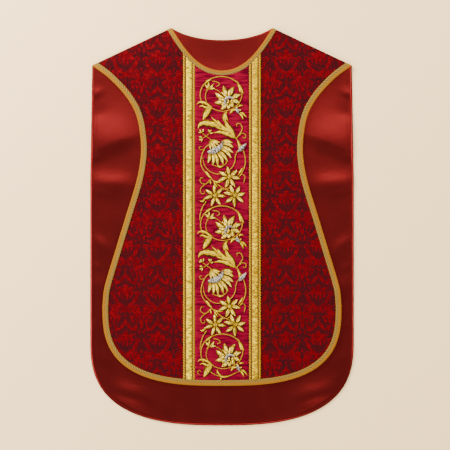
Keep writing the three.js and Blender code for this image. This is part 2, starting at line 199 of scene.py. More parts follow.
class Dye:
    """The material of one cloth or thread, with its nodes added one by one."""

    def __init__(self, name, metallic=0.0, roughness=0.7, **constants):
        self.material = bpy.data.materials.new(name)
        self.material.use_nodes = True
        self.nodes = self.material.node_tree.nodes
        self.links = self.material.node_tree.links
        self.shader = self.nodes["Principled BSDF"]
        self.finish("Metallic", metallic)
        self.finish("Roughness", roughness)
        for socket, value in constants.items():
            self.finish(socket.replace("_", " "), value)

    def finish(self, socket, value):
        """Sets or links one of the shader's sockets."""
        self.feed(self.shader.inputs[socket], value)

    def feed(self, socket, value):
        """Sets a socket to a constant, or links a value to it."""
        if isinstance(value, Value):
            self.links.new(value.socket, socket)
        else:
            socket.default_value = value

    def add(self, kind, settings=None, inputs=None, output=0):
        """Adds a node: its settings first, then the values or links of its sockets."""
        node = self.nodes.new(kind)
        for key, setting in (settings or {}).items():
            setattr(node, key, setting)
        for key, value in (inputs or {}).items():
            self.feed(node.inputs[key], value)
        return Value(self, node.outputs[output])

    def math(self, operation, *values):
        return self.add("ShaderNodeMath", {"operation": operation}, dict(enumerate(values)))

    def wrap(self, value, half):
        """Folds a value into the range from -half to half, over and over."""
        return self.math("WRAP", value, half, -half)

    def rise(self, value, low, high):
        """0 below low, 1 above high, and a smooth step between them."""
        settings = {"interpolation_type": "SMOOTHSTEP"}
        return self.add("ShaderNodeMapRange", settings, {0: value, 1: low, 2: high, 3: 0.0, 4: 1.0})

    def either(self, *masks):
        """The strongest of several masks."""
        most = masks[0]
        for mask in masks[1:]:
            most = self.math("MAXIMUM", most, mask)
        return most

    def mix(self, share, first, second):
        """A colour between two: the first where share is 0, the second where it is 1."""
        settings = {"data_type": "RGBA"}
        return self.add("ShaderNodeMix", settings, {0: share, 6: first, 7: second}, output=2)

    def place(self):
        """The point's x, y and z on the garment, in metres."""
        point = self.add("ShaderNodeTexCoord", output=3)
        split = self.add("ShaderNodeSeparateXYZ", None, {0: point}).socket.node
        return [Value(self, split.outputs[axis]) for axis in range(3)]

    def thread(self):
        """The thread's two coordinates on this piece: along it, and across it."""
        uv = self.add("ShaderNodeUVMap", {"uv_map": "thread"})
        split = self.add("ShaderNodeSeparateXYZ", None, {0: uv}).socket.node
        return Value(self, split.outputs[0]), Value(self, split.outputs[1])

    def cloud(self, size, stretch=(1, 1, 1), detail=2.0):
        """Soft noise from 0 to 1 with patches of a size in metres, longer where stretch is large."""
        point = self.add("ShaderNodeTexCoord", output=3)
        scale = [1 / (size * s) for s in stretch]
        scaled = self.add("ShaderNodeMapping", None, {"Vector": point, "Scale": scale})
        return self.add("ShaderNodeTexNoise", None, {"Vector": scaled, "Scale": 1.0, "Detail": detail})

    def emboss(self, height, depth, distance=0.001):
        """Raises the surface by a height value, as a bump of a depth."""
        bump = {"Height": height, "Strength": depth, "Distance": distance}
        self.finish("Normal", self.add("ShaderNodeBump", None, bump))


# The damask's figures, in millimetres from the middle of a palmette and of a fan: each stroke is an
# oval at x, y, tilted, with half its length and half its width. Both sides of the middle are alike.
REPEAT_X, REPEAT_Y, FIRST_Y = 85.3, 124.4, 78.8
RAGGED_SIZE, RAGGED_REACH = 0.0036, 1.8
FAR = 9.0
GROUND_REDS = (0.018, 0.0036, 0.0054, 1), (0.048, 0.0030, 0.0050, 1)
FIGURE_REDS = (0.070, 0.0017, 0.0040, 1), (0.122, 0.0016, 0.0048, 1)
Stroke = namedtuple("Stroke", "x y tilt long wide")
PALMETTE = [
    (0, -1, 0, 17, 11), (0, 12, 0, 8, 6.5), (13, 4, 35, 9, 6),
    (18, -5, -15, 7, 4.4), (5.4, -15, 90, 8, 3.3), (15.5, -12, 62, 7.5, 3.1),
    (8, 32, -52, 14, 4.8), (21, 22, -12, 11, 4.6), (0, 43, 90, 7.5, 3.6),
    (28, 29, 60, 8, 3.8), (32, -7, 0, 7.8, 7.4), (26, -22, 64, 12, 6.0),
    (13, -39, 40, 16, 6.0), (0, -49, 90, 9, 8.0), (0, 57.5, 90, 6, 2.4),
    (37, 15, 84, 6, 2.6), (25, 8, 60, 5, 2.4),
]
PALMETTE_GAPS = [
    (32, -7, 0, 3.0, 2.6), (0, 33, 90, 2.4, 2.2), (9, -2, 80, 6, 0.7),
    (17, -37, 40, 8, 0.8), (0, -50, 90, 5, 0.9),
]
FAN = [
    (14, 7, 24, 17, 8.0), (19, -6, -8, 14, 5.6), (11, 19, 52, 10, 6.6),
    (13, -17, 74, 9, 4.2), (24, -17, 56, 8, 3.6), (5, -13, 80, 8, 3.4),
    (0, -27, 90, 12, 5.2), (4, 2, 80, 9, 3.6), (0, 26, 90, 6, 2.4),
    (6.6, -46, 86, 8, 3.0), (25, 21, 30, 8, 4.2), (33, 9, 60, 8, 3.6),
    (16, -33, 40, 7, 2.6),
]
FAN_GAPS = [
    (12, 20, 52, 3.6, 1.5), (20, 9, 24, 9, 0.8), (20, -6, -8, 8, 0.8),
    (0, -3, 90, 7, 1.2),
]


def damask(name):
    """Crimson damask: bright satin figures close together on a dark twill ground. Palmettes under
    pointed arches stand in rows, and leafy fans between them, half a repeat off."""
    dye = Dye(name, roughness=0.6, Specular_IOR_Level=0.0)
    x, y, _ = dye.place()
    ragged = dye.cloud(RAGGED_SIZE, detail=1.0) * (2 * RAGGED_REACH) - RAGGED_REACH
    x, y = x * 1000, y * 1000 - FIRST_Y + ragged

    def strokes(table, across, up):
        """1 inside any stroke of a table, with soft edges."""
        right, up = abs(dye.wrap(across + ragged, REPEAT_X / 2)), dye.wrap(up, REPEAT_Y / 2)
        nearest = FAR
        for row in map(Stroke._make, table):
            cos, sin = math.cos(math.radians(row.tilt)), math.sin(math.radians(row.tilt))
            to_middle = -(row.x * cos + row.y * sin) / row.long
            along = dye.math("MULTIPLY_ADD", right, cos / row.long, to_middle)
            along = dye.math("MULTIPLY_ADD", up, sin / row.long, along)
            to_middle = (row.x * sin - row.y * cos) / row.wide
            off = dye.math("MULTIPLY_ADD", right, -sin / row.wide, to_middle)
            off = dye.math("MULTIPLY_ADD", up, cos / row.wide, off)
            reach = dye.math("MULTIPLY_ADD", off, off, along * along)
            nearest = dye.math("MINIMUM", nearest, reach)
        return dye.rise(1 - nearest, 0.0, 0.4)

    palmettes = strokes(PALMETTE, x, y) * (1 - strokes(PALMETTE_GAPS, x, y))
    second_x, second_y = x + REPEAT_X / 2, y + REPEAT_Y / 2
    fans = strokes(FAN, second_x, second_y) * (1 - strokes(FAN_GAPS, second_x, second_y))
    figure = dye.either(palmettes, fans)
    flecks = dye.rise(dye.cloud(0.0034, detail=1.0), 0.40, 0.60)
    patches = dye.rise(dye.cloud(0.011), 0.34, 0.62)
    shown = figure * (0.52 + flecks * 0.48)
    ground, reds = dye.mix(flecks, *GROUND_REDS), dye.mix(patches, *FIGURE_REDS)
    dye.finish("Base Color", dye.mix(shown, ground, reds))
    dye.finish("Roughness", 0.7 - figure * 0.2)
    dye.emboss(figure + dye.cloud(0.0012) * 0.35, 0.3, 0.0004)
    return dye.material


DAMASK = damask("crimson_damask")
back_across = closer_at_ends(count=91, rim_steps=3, rim=RIM_ACROSS)
back_up = closer_at_ends(count=131, rim_steps=3, rim=RIM_UP)
back_plan = panel_grid(BACK_HEM, back_half_width, BACK_NECK_CURVE, back_across, back_up)
from_side = np.minimum(back_across, 1 - back_across) / RIM_ACROSS
from_end = np.minimum(back_up, 1 - back_up) / RIM_UP
rounded = RIM_ROUNDING * np.clip(1 - 3 * np.minimum.outer(from_end, from_side), 0, 1)
back_top = at_heights(back_plan, SHELL_THICKNESS - rounded)
lay_cloth(
    "back_panel_cloth",
    "back_panel",
    (back_top, at_heights(back_plan, rounded)),
    DAMASK,
    "shell_damask",
    flat=(2 * BACK_HALF_WIDTH, LENGTH),
    measured=back_top,
)

# Back lining. Dark red satin bagged out against the back panel, its rolled edge just inside the rim.
# It lies in soft folds beside the scooped front, where nothing holds it, and rises a little to the
# neck's edge. Its folds are the same on both sides.
LINING_INSET = 0.002
LINING_BASE = 0.0018
LINING_THICKNESS = 0.001
NECK_STAND, NECK_STAND_FROM, NECK_STAND_REACH, NECK_STAND_HALF_WIDTH = 0.0054, 0.43, 0.086, 0.145
SHOULDER_PRESS_FROM, SHOULDER_PRESS_REACH = 0.36, 0.05
SMALL_CREASE_FADE = 0.01
LEAST_LINING = 0.0005
EDGE_BATCH = 40
SATIN_REDS = (0.176, 0.0118, 0.0132, 1), (0.204, 0.0130, 0.0145, 1)
LINING_HEM = BACK_HEM._replace(half_width=0.348, depth=0.224)
Crease = namedtuple("Crease", "out up tilt long upper lower rise")
LINING_CREASES = [
    (0.296, 0.221, -21, 0.062, 0.066, 0.022, 0.0042),
    (0.300, 0.112, 8, 0.058, 0.026, 0.030, 0.0028),
    (0.318, -0.051, 42, 0.032, 0.020, 0.020, 0.0018),
    (0.322, -0.158, 42, 0.032, 0.020, 0.020, 0.0018),
    (0.330, -0.348, 40, 0.030, 0.020, 0.020, 0.0016),
    (0.233, -0.452, 26, 0.074, 0.036, 0.022, 0.0032),
]
SMALL_CREASES = [
    (0.330, 0.432, -20, 0.070, 0.040, 0.066, 0.0026),
    (0.268, 0.231, -20, 0.040, 0.062, 0.020, 0.0017),
    (0.322, 0.211, -20, 0.040, 0.060, 0.020, 0.0016),
    (0.268, 0.120, 2, 0.036, 0.026, 0.022, 0.0011),
    (0.326, 0.116, 8, 0.030, 0.030, 0.020, 0.0006),
    (0.250, -0.442, 14, 0.062, 0.026, 0.021, 0.0040),
    (0.338, 0.352, -24, 0.020, 0.014, 0.009, 0.0016),
    (0.330, 0.300, -12, 0.026, 0.020, 0.016, -0.0009),
    (0.336, 0.183, -8, 0.016, 0.010, 0.007, 0.0016),
    (0.318, 0.090, 16, 0.030, 0.008, 0.006, 0.0008),
    (0.324, -0.046, 42, 0.034, 0.014, 0.008, 0.0007),
    (0.334, -0.106, 30, 0.014, 0.008, 0.006, 0.0009),
    (0.312, -0.206, 38, 0.026, 0.014, 0.010, -0.0007),
    (0.336, -0.262, 30, 0.016, 0.012, 0.010, 0.0008),
    (0.318, -0.392, 38, 0.026, 0.012, 0.008, 0.0009),
    (0.120, -0.486, 6, 0.070, 0.016, 0.012, 0.0008),
    (0.040, -0.500, -4, 0.060, 0.012, 0.010, 0.0006),
]


def creases(table, x, y):
    """Height of a table of soft ridges and troughs, the same on both sides of the middle."""
    total = np.zeros(np.broadcast(x, y).shape)
    for crease in map(Crease._make, table):
        angle = math.radians(crease.tilt)
        dx, dy = np.abs(x) - crease.out, y - crease.up
        along = (dx * math.cos(angle) + dy * math.sin(angle)) / crease.long
        off = dy * math.cos(angle) - dx * math.sin(angle)
        across = off / np.where(off > 0, crease.upper, crease.lower)
        total += crease.rise * np.exp(-(along**2) - across**2)
    return total


def edge_distance(plan):
    """Distance of each grid point from the free edges of its grid: the hem and both sides."""
    edge = np.concatenate([plan[::-1, 0], plan[0], plan[:, -1]])
    steps = np.diff(edge, axis=0)
    lengths = np.maximum((steps**2).sum(-1), 1e-12)
    points = plan.reshape(-1, 1, 2)
    nearest = np.full(len(points), np.inf)
    for i in range(0, len(steps), EDGE_BATCH):
        batch = slice(i, i + EDGE_BATCH)
        start, step, length = edge[:-1][batch], steps[batch], lengths[batch]
        share = np.clip(((points - start) * step).sum(-1) / length, 0, 1)
        away = np.linalg.norm(points - start - share[..., None] * step, axis=-1)
        nearest = np.minimum(nearest, away.min(-1))
    return nearest.reshape(plan.shape[:2])


def satin(name):
    """Dark red satin with the long thread floats lying up and down the garment."""
    sheen = {"Specular_IOR_Level": 0.0, "Specular_Tint": (0.32, 0.016, 0.024, 1)}
    dye = Dye(name, metallic=0.96, roughness=0.34, Coat_Weight=0.03, Coat_Roughness=0.7, **sheen)
    patches = dye.cloud(0.05, (1, 1.6, 1))
    floats = dye.cloud(0.0006, (1, 14, 1), detail=1.0)
    dye.finish("Base Color", dye.mix(patches, *SATIN_REDS))
    dye.finish("Roughness", 0.25 + patches * 0.05 + floats * 0.04)
    dye.emboss(floats * 0.3 + dye.cloud(0.014, (1, 0.6, 1)) * 1.2, 0.2, 0.0006)
    return dye.material


lining_across = closer_at_ends(count=111, rim_steps=9, rim=0.034)
lining_up = closer_at_ends(count=165, rim_steps=9, rim=0.022)
lining_plan = panel_grid(
    LINING_HEM,
    lambda up: back_half_width(up, LINING_INSET),
    BACK_NECK_CURVE,
    lining_across,
    lining_up,
    LINING_INSET,
)
lining_x, lining_y = lining_plan[..., 0], lining_plan[..., 1]
from_edge = edge_distance(lining_plan)


def along_edge(height, away, width):
    """A ridge, or a groove where its height is negative, along the lining's free edges."""
    return height * np.exp(-(((from_edge - away) / width) ** 2))


free = 1 - np.clip((lining_y - SHOULDER_PRESS_FROM) / SHOULDER_PRESS_REACH, 0, 1)
turned_in = along_edge(height=0.0005, away=0.0052, width=0.0030)
stitch_line = along_edge(height=-0.0005, away=0.0105, width=0.0020)
rolled = along_edge(height=-0.00025, away=0, width=0.0012)
rim = turned_in + stitch_line
small_folds = creases(SMALL_CREASES, lining_x, lining_y) * np.clip(from_edge / SMALL_CREASE_FADE, 0, 1)
lining_lift = creases(LINING_CREASES, lining_x, lining_y) + small_folds
lining_under = LINING_BASE + lining_lift.clip(0) * 0.9 + rim.clip(0) * free
lining_top = LINING_BASE + LINING_THICKNESS + lining_lift + (rim + rolled) * free
up_neck = np.clip((lining_y - NECK_STAND_FROM) / NECK_STAND_REACH, 0, 1) ** 1.5
in_neck = np.clip(1 - (lining_x / NECK_STAND_HALF_WIDTH) ** 2, 0, 1)
lining_top = np.maximum(lining_top + NECK_STAND * up_neck * in_neck, lining_under + LEAST_LINING)
lay_cloth(
    "satin_lining_cloth",
    "back_lining",
    (at_heights(lining_plan, lining_top), at_heights(lining_plan, lining_under)),
    satin("dark_red_satin"),
    "satin_lining",
    flat=(0.696, 1.052),
    measured=at_heights(lining_plan, 0),
    rests_on=["back_panel_cloth"],
)

# Front panel. Stiff interlined damask in the fiddle shape, scooped for the arms and joined to the
# back along both shoulders. It springs up a little below the seam and lies loosely from there down.
FRONT_HEM = Hem(centre=-0.210, half_width=0.317, depth=0.212, power=2.85)
FRONT_NECK_CURVE = np.array([[0.134, TOP], [0.100, TOP - 0.057], [0.062, TOP - 0.114], [0, TOP - 0.114]])
FRONT_SIDE = [
    (-0.210, 0.317), (-0.163, 0.312), (-0.067, 0.284), (0.028, 0.255),
    (0.124, 0.226), (0.190, 0.215), (0.245, 0.217), (0.300, 0.229),
    (0.347, 0.256), (0.395, 0.301), (0.428, 0.345),
]
FRONT_BASE = 0.0031
FRONT_THICKNESS = 0.0022
SPRING_REACH, SPRING_RISE, LOOSE = 0.055, 0.0032, 0.0004
FRONT_SWELLS = [
    (0.165, 0.210, 0, 0.090, 0.120, 0.120, 0.0013),
    (0.190, -0.210, 0, 0.100, 0.150, 0.150, 0.0015),
]


def front_side(up):
    """Half width of the front: a cubic through its stations, with slopes from their neighbours."""
    station_up, out = np.array(FRONT_SIDE).T
    slope = np.gradient(out)
    ahead, behind = np.roll(station_up, -1), np.roll(station_up, 1)
    slope[1:-1] = (out[2:] - out[:-2]) / (ahead - behind)[1:-1]
    slope[0] = (out[1] - out[0]) / (station_up[1] - station_up[0])
    slope[-1] = (out[-1] - out[-2]) / (station_up[-1] - station_up[-2])
    i = np.clip(np.searchsorted(station_up, up, side="right") - 1, 0, len(out) - 2)
    step = station_up[i + 1] - station_up[i]
    t = (up - station_up[i]) / step
    a, b, ma, mb = out[i], out[i + 1], slope[i] * step, slope[i + 1] * step
    return a + t * (ma + t * (3 * (b - a) - 2 * ma - mb + t * (2 * (a - b) + ma + mb)))


def front_half_width(up):
    """Half width of the front at a height."""
    return np.where(up < FRONT_HEM.centre, hem_half_width(FRONT_HEM, up), front_side(up))


def front_top(x, y):
    """Height of the front panel's upper face."""
    along = (SHOULDER_TIP - NECK_POINT) / np.linalg.norm(SHOULDER_TIP - NECK_POINT)
    below = along[1] * (np.abs(x) - NECK_POINT[0]) - along[0] * (y - NECK_POINT[1])
    depth = np.maximum(0, below) / SPRING_REACH
    spring = SPRING_RISE * depth * np.exp(1 - depth) + LOOSE * (1 - np.exp(-depth))
    folds = creases(LINING_CREASES, x, y) + creases(FRONT_SWELLS, x, y)
    return FRONT_BASE + FRONT_THICKNESS + spring + folds


front_across = np.linspace(0, 1, 121)
front_up = closer_at_ends(count=161, rim_steps=4, rim=0.012)
front_plan = panel_grid(FRONT_HEM, front_half_width, FRONT_NECK_CURVE, front_across, front_up)
front_heights = front_top(front_plan[..., 0], front_plan[..., 1])
front_under = at_heights(front_plan, front_heights - FRONT_THICKNESS)
lay_cloth(
    "front_panel_cloth",
    "front_panel",
    (at_heights(front_plan, front_heights), front_under),
    DAMASK,
    "shell_damask",
    flat=(0.690, 0.950),
    measured=at_heights(front_plan, 0),
    rests_on=["satin_lining_cloth"],
)

# Edge and neck galloons. Flat gold braid, a ribbed yellow half beside a twilled half, stitched round
# the front: 15 mm wide along both sides and the hem, and 12 mm wide round the neckline.
SEAM_GAP = 0.0003
EDGE_GALLOON_WIDTH, NECK_GALLOON_WIDTH = 0.015, 0.012
GALLOON_EDGE, GALLOON_RISE, GALLOON_GROOVE, GALLOON_MIDDLE = 0.0007, 0.0005, 0.0003, 6
END_ROWS, END_MARGIN = 7, 0.002
GALLOON_GOLD, GALLOON_BROWN = (0.32, 0.146, 0.010), (0.20, 0.082, 0.008)
TWILL_COLOURS = (0.095, 0.072, 0.036, 1), (0.26, 0.150, 0.014, 1)
TOWARDS_NECK = (NECK_POINT - SHOULDER_TIP) / np.linalg.norm(NECK_POINT - SHOULDER_TIP)
MIRROR = np.array([-1, 1])


def along_run(run):
    """Length along a run of points, at each of them."""
    return np.concatenate([[0], np.cumsum(np.linalg.norm(np.diff(run, axis=0), axis=1))])


def even_run(points, spacing):
    """The same run with its points evenly spaced."""
    lengths = along_run(points)
    even = np.linspace(0, lengths[-1], max(2, round(lengths[-1] / spacing)) + 1)
    return np.stack([np.interp(even, lengths, points[:, axis]) for axis in range(2)], -1)


def unit_ways(run):
    """Directions of a run at its points, each one long."""
    ways = np.gradient(run, axis=0)
    return ways / np.linalg.norm(ways, axis=1, keepdims=True)


def band_grid(run, width, shares, start_cut, end_cut):
    """A band on the left of a run, in rows along it, its two ends cut along given directions."""
    ways = unit_ways(run)
    reach = np.stack([-ways[:, 1], ways[:, 0]], -1) * width
    lengths = along_run(run)
    start_reach, end_reach = (
        cut * width**2 / (cut @ reach[end]) for cut, end in ((start_cut, 0), (end_cut, -1))
    )
    start_trim = max(0, start_reach @ ways[0]) + END_MARGIN
    end_trim = max(0, -end_reach @ ways[-1]) + END_MARGIN
    kept = (lengths > start_trim) & (lengths[-1] - lengths > end_trim)
    rows = run[kept, None] + reach[kept, None] * shares[:, None]
    start, end = (run[i] + r * shares[:, None] for i, r in ((0, start_reach), (-1, end_reach)))
    ease = np.linspace(0, 1, END_ROWS)[:-1, None, None]
    first, last = start * (1 - ease) + rows[0] * ease, end * (1 - ease) + rows[-1] * ease
    return np.concatenate([first, rows, last[::-1]])


def on_front(plan, rise):
    """Points lying on the front panel at a height over it."""
    return at_heights(plan, front_top(plan[..., 0], plan[..., 1]) + SEAM_GAP + rise)


def gold(name, colour, deep, metallic=0.3, roughness=0.4):
    """Gold thread: its dye, and its dark and bright shades."""
    edge = {"Specular_IOR_Level": 0.0, "Specular_Tint": (1.0, 0.72, 0.24, 1)}
    dye = Dye(name, metallic=metallic, roughness=roughness, **edge)
    return dye, (*deep, 1), (*colour, 1)


def galloon_braid(name):
    """Woven gold braid: a ribbed outer half, and an inner half of grey and gold diagonal twill."""
    dye, deep, bright = gold(name, GALLOON_GOLD, GALLOON_BROWN, metallic=0.15)
    along, across = dye.thread()
    rib = dye.math("SINE", along * 1500)
    weft = dye.rise(dye.math("SINE", along * 780 + across * 14), -0.2, 0.5)
    inner = dye.rise(across, 0.5, 0.56)
    selvedge = dye.either(dye.rise(0.07 - across, 0, 0.05), dye.rise(across - 0.93, 0, 0.05))
    outer_colour = dye.mix(rib * 0.25 + dye.cloud(0.004) * 0.5, deep, bright)
    twill = dye.mix(weft, *TWILL_COLOURS)
    colour = dye.mix(inner, outer_colour, twill)
    dye.finish("Base Color", dye.mix(selvedge * 0.6, colour, deep))
    dye.emboss(rib * (1 - inner) * 0.5 + weft * inner, 0.6, 0.0004)
    return dye.material


GALLOON = galloon_braid("gold_galloon")
galloon_shares = np.array([1, 0.97, 0.9, 0.8, 0.65, 0.53, 0.5, 0.47, 0.35, 0.2, 0.1, 0.03, 0])
from_selvedge = np.minimum(galloon_shares, 1 - galloon_shares) / 0.15
galloon_rise = GALLOON_EDGE + GALLOON_RISE * np.sin(np.clip(from_selvedge, 0, 1) * math.pi / 2)
galloon_rise[GALLOON_MIDDLE] -= GALLOON_GROOVE


def galloon(name, node, run, width, start_cut, end_cut):
    """Sews one galloon on along a run, and gives its plan points."""
    grid = band_grid(run, width, galloon_shares, start_cut, end_cut)
    length = along_run(grid[:, GALLOON_MIDDLE])
    thread = np.stack(np.broadcast_arrays(length[:, None], galloon_shares), -1)
    longest = max(along_run(grid[:, 0])[-1], along_run(grid[:, -1])[-1])
    lay_cloth(
        name,
        node,
        (on_front(grid, galloon_rise), on_front(grid, 0)),
        GALLOON,
        "galloon",
        flat=(width, longest),
        measured=at_heights(grid, 0),
        thread=[thread],
        rests_on=["front_panel_cloth"],
    )
    return grid


side_up = np.linspace(SHOULDER_TIP[1], FRONT_HEM.centre, 260)
left_side = np.stack([-front_half_width(side_up), side_up], -1)
hem_angle = (np.linspace(0, 1, 400)[1:-1] - 0.5) * math.pi
hem_x = np.abs(np.sin(hem_angle)) ** (2 / FRONT_HEM.power) * np.sign(hem_angle) * FRONT_HEM.half_width
hem_y = FRONT_HEM.centre - np.cos(hem_angle) ** (2 / FRONT_HEM.power) * FRONT_HEM.depth
edge_run = np.concatenate([left_side, np.stack([hem_x, hem_y], -1), left_side[::-1] * MIRROR])
edge_grid = galloon(
    "edge_galloon_braid",
    "edge_galloon",
    even_run(edge_run, 0.004),
    EDGE_GALLOON_WIDTH,
    TOWARDS_NECK * MIRROR,
    TOWARDS_NECK,
)
neck_run = upper_edge(FRONT_NECK_CURVE, np.linspace(1 - SHOULDER_SHARE, SHOULDER_SHARE, 200))
neck_grid = galloon(
    "neck_galloon_braid",
    "neck_galloon",
    even_run(neck_run, 0.003),
    NECK_GALLOON_WIDTH,
    -TOWARDS_NECK,
    -TOWARDS_NECK * MIRROR,
)

# Orphrey silk. A column of plain crimson silk stitched down the middle of the front, drawn up by its
# embroidery into many fine creases from side to side.
ORPHREY_HALF_WIDTH, BRAID_WIDTH = 0.103, 0.031
SILK_HALF_WIDTH = ORPHREY_HALF_WIDTH - BRAID_WIDTH - SEAM_GAP
SILK_THICKNESS = 0.001
SILK_CREASES, SILK_CREASE_LIMIT, SILK_FLAT_EDGE = 200, 0.00085, 0.004
SILK_CREASE_AREA = (-0.075, -0.41), (0.075, 0.42)
# The darker red of the silk stands partly for painted shade of fine creases.
SILK_REDS = (0.048, 0.0018, 0.0084, 1), (0.150, 0.0024, 0.0160, 1)
hem_inner = edge_grid[edge_grid[:, 0, 1] < FRONT_HEM.centre, 0]
neck_inner = neck_grid[::-1, 0]


def column_grid(xs, rows):
    """Plan points of a column between the inner edges of the hem and neck galloons."""
    foot = np.interp(xs, hem_inner[:, 0], hem_inner[:, 1]) + SEAM_GAP
    head = np.interp(xs, neck_inner[:, 0], neck_inner[:, 1]) - SEAM_GAP
    up = foot + (head - foot) * np.linspace(0, 1, rows)[:, None]
    return np.stack([np.broadcast_to(xs, up.shape), up], -1)


def silk_dye(name):
    """Crimson silk with slubs and fine ridges that run from side to side. Its colour varies with the
    slubs, and is darker along the ridges as painted shade of fine creases.
    """
    dye = Dye(name, roughness=0.5, Specular_IOR_Level=0.0)
    slub = dye.cloud(0.0028, (9, 1, 1), detail=3.0)
    ridge = dye.cloud(0.007, (7, 1, 1))
    # The colour is the slubs' own tone, plus painted shade of fine creases along the ridges.
    shade = dye.rise(slub * 0.45 + ridge * 0.55, 0.36, 0.56)
    dye.finish("Base Color", dye.mix(shade, *SILK_REDS))
    dye.emboss(slub + ridge, 0.7, 0.0012)
    return dye.material


silk_plan = column_grid(np.linspace(-SILK_HALF_WIDTH, SILK_HALF_WIDTH, 31), 620)
silk_x, silk_y = silk_plan[..., 0], silk_plan[..., 1]
rng = np.random.default_rng(12)
puckers = np.zeros(silk_x.shape)
for i in range(SILK_CREASES):
    deep = i % 4 == 0
    larger = 1.5 if deep else 1
    middle = rng.uniform(*SILK_CREASE_AREA)
    reach, tilt = rng.uniform(0.014, 0.045) * larger, rng.uniform(-0.08, 0.08)
    narrow = rng.uniform(0.0010, 0.0018) * larger
    depth = rng.uniform(0.0006, 0.0010) if deep else rng.uniform(0.0002, 0.0005)
    off = (silk_y - middle[1] - tilt * (silk_x - middle[0])) / narrow
    puckers -= depth * np.exp(-(off**2) - ((silk_x - middle[0]) / reach) ** 2)
puckers = np.clip(puckers, -SILK_CREASE_LIMIT, 0)
puckers *= np.clip((SILK_HALF_WIDTH - np.abs(silk_x)) / SILK_FLAT_EDGE, 0, 1)
lay_cloth(
    "orphrey_silk_cloth",
    "orphrey_silk",
    (on_front(silk_plan, SILK_THICKNESS + puckers), on_front(silk_plan, 0)),
    silk_dye("crimson_silk"),
    "orphrey_silk",
    flat=(2 * SILK_HALF_WIDTH, 0.835),
    measured=at_heights(silk_plan, 0),
    rests_on=["front_panel_cloth"],
)

# Orphrey braids. Gold braid down each side of the silk: a woven strip that carries a padded, ribbed
# band between two twisted cords, with the strip's brown ground showing as lines between them.
CORD_WIDTH, CORD_RISE, CORD_LAY = 0.0052, 0.0009, 0.007
PADDED_MIDDLE, PADDED_WIDTH, PADDED_RISE = 0.0155, 0.0148, 0.0014
STRIP_RISE, STRIP_ROWS, STRIP_COLUMNS = 0.0009, 220, 9
PADDED_ROWS, PADDED_COLUMNS = 430, 13
CORD_ROWS, CORD_COLUMNS, CORD_PLY_TURN = 740, 8, 2.2
SUNK = 0.0002
GROUND_TAN, GROUND_BROWN = (0.120, 0.058, 0.016), (0.056, 0.026, 0.010)
# The cord's brown is painted shade in the groove between its plies.
CORD_YELLOW, CORD_SHADE_BROWN = (0.42, 0.240, 0.006), (0.060, 0.026, 0.006)
# Both browns are painted shade on the padded gold: the first at its edges, the second in small ticks.
PADDED_SHADE_BROWN, TICK_SHADE_BROWN = (0.17, 0.090, 0.018), (0.17, 0.090, 0.003, 1)


def braid_ground(name):
    """The strip's dull brown ground."""
    dye, deep, bright = gold(name, GROUND_TAN, GROUND_BROWN, metallic=0.1, roughness=0.7)
    warp = dye.cloud(0.0015, (1, 5, 1))
    dye.finish("Base Color", dye.mix(warp, deep, bright))
    dye.emboss(warp, 0.5, 0.0005)
    return dye.material


def padded_gold(name, colour, pale):
    """Bright flat gold over padding, crossed by fine threads. Its colour holds painted light: pale
    painted glints, and painted shade in small brown ticks and at the band's edges.
    """
    dye, deep, bright = gold(name, colour, PADDED_SHADE_BROWN, roughness=0.36)
    along, across = dye.thread()
    rib = dye.math("SINE", along * 2100 + dye.cloud(0.008) * 6)
    catch = dye.cloud(0.0035, (2.5, 1, 1), detail=3.0)
    # Painted glints turn patches pale gold, and small ticks of painted shade turn brown.
    painted_glint = dye.rise(catch + rib * 0.05, 0.46, 0.60)
    shade_tick = dye.rise(0.47 - dye.cloud(0.006, (1.6, 0.8, 1), detail=3.0), 0, 0.07) * 0.8
    face = dye.mix(shade_tick, dye.mix(painted_glint, bright, (*pale, 1)), TICK_SHADE_BROWN)
    # Painted shade at the band's edges, where it curves down to the strip.
    edge = dye.rise(abs(across), 0.84, 1.0)
    dye.finish("Base Color", dye.mix(edge, face, deep))
    dye.finish("Roughness", 0.44 - painted_glint * 0.14)
    dye.emboss(rib * 0.4 + catch * 1.4, 0.65, 0.0007)
    return dye.material


def cord_gold(name):
    """Gold cord of two plies, with painted shade between them."""
    dye, deep, bright = gold(name, CORD_YELLOW, CORD_SHADE_BROWN)
    along, across = dye.thread()
    ply = dye.math("SINE", along * (2 * math.pi / CORD_LAY) + across * CORD_PLY_TURN)
    # Painted shade: the cord turns brown in the groove between its plies.
    dye.finish("Base Color", dye.mix(dye.rise(ply, -0.9, 0.3), deep, bright))
    dye.emboss(ply + dye.math("SINE", along * 5200 - across * 5), 0.35, 0.0004)
    return dye.material


BRAID_GROUND, CORD_GOLD = braid_ground("braid_ground"), cord_gold("cord_gold")
# The left band's gold is lighter and the right band's darker: lit and shaded copies of one gold, painted
# light from the key at the left.
PADDED_GOLD = {
    "left": padded_gold("padded_gold_lit_left", (0.50, 0.375, 0.0005), (0.95, 0.72, 0.0005)),
    "right": padded_gold("padded_gold_shaded_right", (0.36, 0.225, 0.0005), (0.74, 0.51, 0.0005)),
}


def raised_column(x_middle, width, rise, rows, columns, twist=0.0):
    """A half-round run down a column on the braid's strip, with its thread's coordinates."""
    across = np.linspace(-1, 1, columns)
    plan = column_grid(x_middle + across * width / 2, rows)
    dome = np.sqrt(np.clip(1 - across**2, 0, 1))
    turn = plan[..., 1] * (2 * math.pi / CORD_LAY) + across * CORD_PLY_TURN
    ply = 1 - twist * (0.5 - 0.5 * np.sin(turn))
    top = on_front(plan, STRIP_RISE - SUNK + (rise + SUNK) * dome * ply)
    thread = np.stack([plan[..., 1], np.broadcast_to(across, plan.shape[:2])], -1)
    return (top, on_front(plan, STRIP_RISE - 2 * SUNK)), thread


